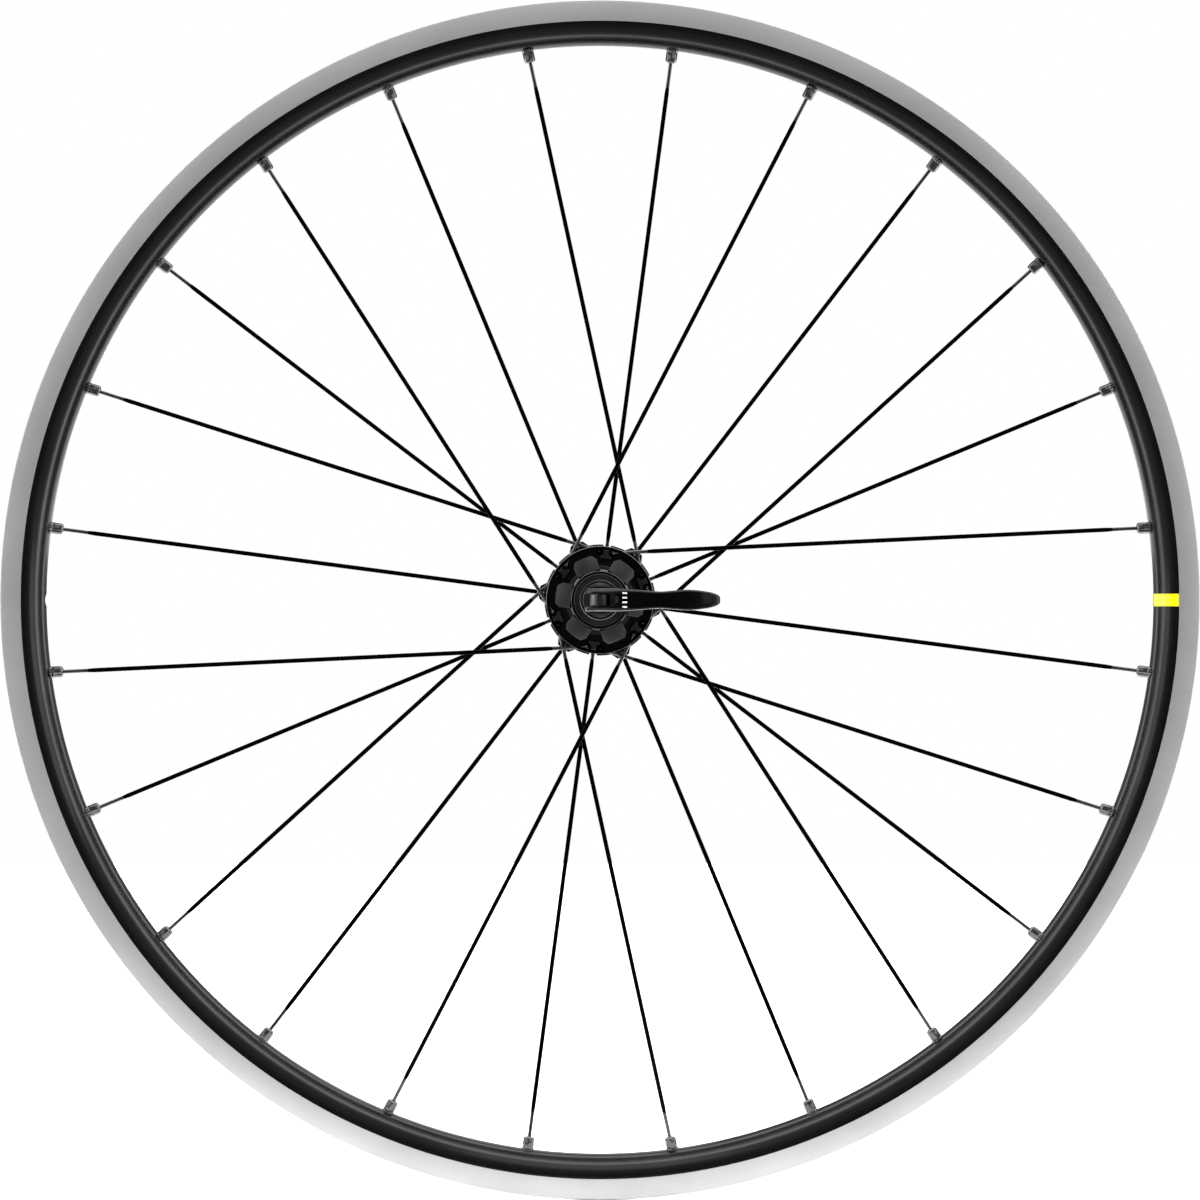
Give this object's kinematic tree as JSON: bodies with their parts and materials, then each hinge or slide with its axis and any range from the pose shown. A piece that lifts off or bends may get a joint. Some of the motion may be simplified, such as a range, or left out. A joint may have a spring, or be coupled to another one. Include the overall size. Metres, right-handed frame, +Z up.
{
  "type": "bicycle rear wheel with quick-release skewer",
  "caption": "Road bicycle rear wheel: double-wall rim-brake rim, bladed straight-pull spokes, hub with splined ratchet freehub, hollow axle and cam-lever quick release",
  "frame": {"origin": "Middle of the axle, on the rim's centre plane", "axes": "+Y along the axle towards the freehub side, +X along the closed skewer lever, +Z up"},
  "size_m": [0.634, 0.183, 0.634],
  "materials": {
    "rim_black": "black satin anodised, machined bare on the brake tracks",
    "spoke_black": "black coated stainless steel",
    "hub_grey": "dark grey anodised, machined facets",
    "cap_black": "black anodised, turned",
    "bare_aluminium": "turned",
    "freehub_aluminium": "milled, clear anodised",
    "bearing_steel": "ground",
    "bright_steel": "plated, satin",
    "spring_steel": "drawn wire, plated",
    "lever_black": "forged, black gloss",
    "skewer_grey": "turned, grey anodised",
    "black_nylon": "moulded",
    "black_rubber": "moulded"
  },
  "bodies": {
    "axle": {"axle": "bare_aluminium", "left_end_cap": "cap_black", "right_end_cap": "cap_black", "ratchet_spacer": "bare_aluminium", "freehub_spacer": "bare_aluminium", "left_hub_bearing_inner_race": "bearing_steel", "right_hub_bearing_inner_race": "bearing_steel", "inner_freehub_bearing_inner_race": "bearing_steel", "outer_freehub_bearing_inner_race": "bearing_steel"},
    "wheel": {"rim": "rim_black", "hub_shell": "hub_grey", "hub_ratchet_ring": "bearing_steel", "left_dust_seal": "black_rubber", "left_hub_bearing_outer_race": "bearing_steel", "right_hub_bearing_outer_race": "bearing_steel", "radial_spoke_1": "spoke_black", "radial_spoke_2": "spoke_black", "radial_spoke_3": "spoke_black", "radial_spoke_4": "spoke_black", "radial_spoke_5": "spoke_black", "radial_spoke_6": "spoke_black", "radial_spoke_7": "spoke_black", "radial_spoke_8": "spoke_black", "radial_spoke_9": "spoke_black", "radial_spoke_10": "spoke_black", "radial_spoke_11": "spoke_black", "radial_spoke_12": "spoke_black", "crossed_spoke_1": "spoke_black", "crossed_spoke_2": "spoke_black", "crossed_spoke_3": "spoke_black", "crossed_spoke_4": "spoke_black", "crossed_spoke_5": "spoke_black", "crossed_spoke_6": "spoke_black", "crossed_spoke_7": "spoke_black", "crossed_spoke_8": "spoke_black", "crossed_spoke_9": "spoke_black", "crossed_spoke_10": "spoke_black", "crossed_spoke_11": "spoke_black", "crossed_spoke_12": "spoke_black"},
    "left_hub_balls": {"left_hub_bearing_ball_cage": "bearing_steel"},
    "right_hub_balls": {"right_hub_bearing_ball_cage": "bearing_steel"},
    "inner_freehub_balls": {"inner_freehub_bearing_ball_cage": "bearing_steel"},
    "outer_freehub_balls": {"outer_freehub_bearing_ball_cage": "bearing_steel"},
    "freehub": {"freehub_body": "freehub_aluminium", "freehub_seal": "black_rubber", "ratchet_spring": "spring_steel", "inner_freehub_bearing_outer_race": "bearing_steel", "outer_freehub_bearing_outer_race": "bearing_steel"},
    "ratchet_slider": {"sliding_ratchet_ring": "bearing_steel"},
    "cam_cup": {"cam_cup": "skewer_grey", "cam_saddle": "black_nylon", "left_cone_spring": "spring_steel"},
    "skewer_rod": {"skewer_rod": "bright_steel"},
    "lever": {"skewer_lever": "lever_black", "lever_pin": "bright_steel"},
    "nut_washer": {"nut_washer": "bright_steel", "right_cone_spring": "spring_steel"},
    "adjusting_nut": {"adjusting_nut": "skewer_grey", "nut_lock_insert": "black_nylon"}
  },
  "joints": [
    {"name": "wheel_spin", "type": "hinge", "parent": "axle", "child": "wheel", "pos_m": [0, 0, 0], "axis": [0, 1, 0], "continuous": true},
    {"name": "left_balls_spin", "type": "hinge", "parent": "axle", "child": "left_hub_balls", "pos_m": [0, 0, 0], "axis": [0, 1, 0], "continuous": true},
    {"name": "right_balls_spin", "type": "hinge", "parent": "axle", "child": "right_hub_balls", "pos_m": [0, 0, 0], "axis": [0, 1, 0], "continuous": true},
    {"name": "freehub_spin", "type": "hinge", "parent": "axle", "child": "freehub", "pos_m": [0, 0, 0], "axis": [0, 1, 0], "continuous": true},
    {"name": "inner_freehub_balls_spin", "type": "hinge", "parent": "axle", "child": "inner_freehub_balls", "pos_m": [0, 0, 0], "axis": [0, 1, 0], "continuous": true},
    {"name": "outer_freehub_balls_spin", "type": "hinge", "parent": "axle", "child": "outer_freehub_balls", "pos_m": [0, 0, 0], "axis": [0, 1, 0], "continuous": true},
    {"name": "ratchet_slide", "type": "slide", "parent": "freehub", "child": "ratchet_slider", "axis": [0, -1, 0], "range_m": [0, 0.0012], "stiffness_N_per_m": 400, "springref_m": 0.0022, "deforming": ["ratchet_spring"]},
    {"name": "skewer_turn", "type": "hinge", "parent": "axle", "child": "cam_cup", "pos_m": [0, 0, 0], "axis": [0, 1, 0], "continuous": true},
    {"name": "qr_lever", "type": "hinge", "parent": "skewer_rod", "child": "lever", "pos_m": [0, -0.0884, 0], "axis": [0, 0, -1], "range_deg": [0, 180]},
    {"name": "rod_slide", "type": "slide", "parent": "cam_cup", "child": "skewer_rod", "axis": [0, 1, 0], "range_m": [0, 0.0025]},
    {"name": "nut_turn", "type": "hinge", "parent": "nut_washer", "child": "adjusting_nut", "pos_m": [0, 0.078, 0], "axis": [0, 1, 0], "range_deg": [0, 3600]},
    {"name": "nut_slide", "type": "slide", "parent": "skewer_rod", "child": "nut_washer", "axis": [0, 1, 0], "range_m": [0, 0.0081]}
  ],
  "couplings": [
    {"joint": "left_balls_spin", "follows": "wheel_spin", "ratio": 0.5889},
    {"joint": "right_balls_spin", "follows": "wheel_spin", "ratio": 0.5889},
    {"joint": "inner_freehub_balls_spin", "follows": "freehub_spin", "ratio": 0.5889},
    {"joint": "outer_freehub_balls_spin", "follows": "freehub_spin", "ratio": 0.5889},
    {"joint": "rod_slide", "follows": "qr_lever", "m_per_rad": 0.00076394},
    {"joint": "nut_slide", "follows": "nut_turn", "m_per_rad": 0.00012732}
  ]
}
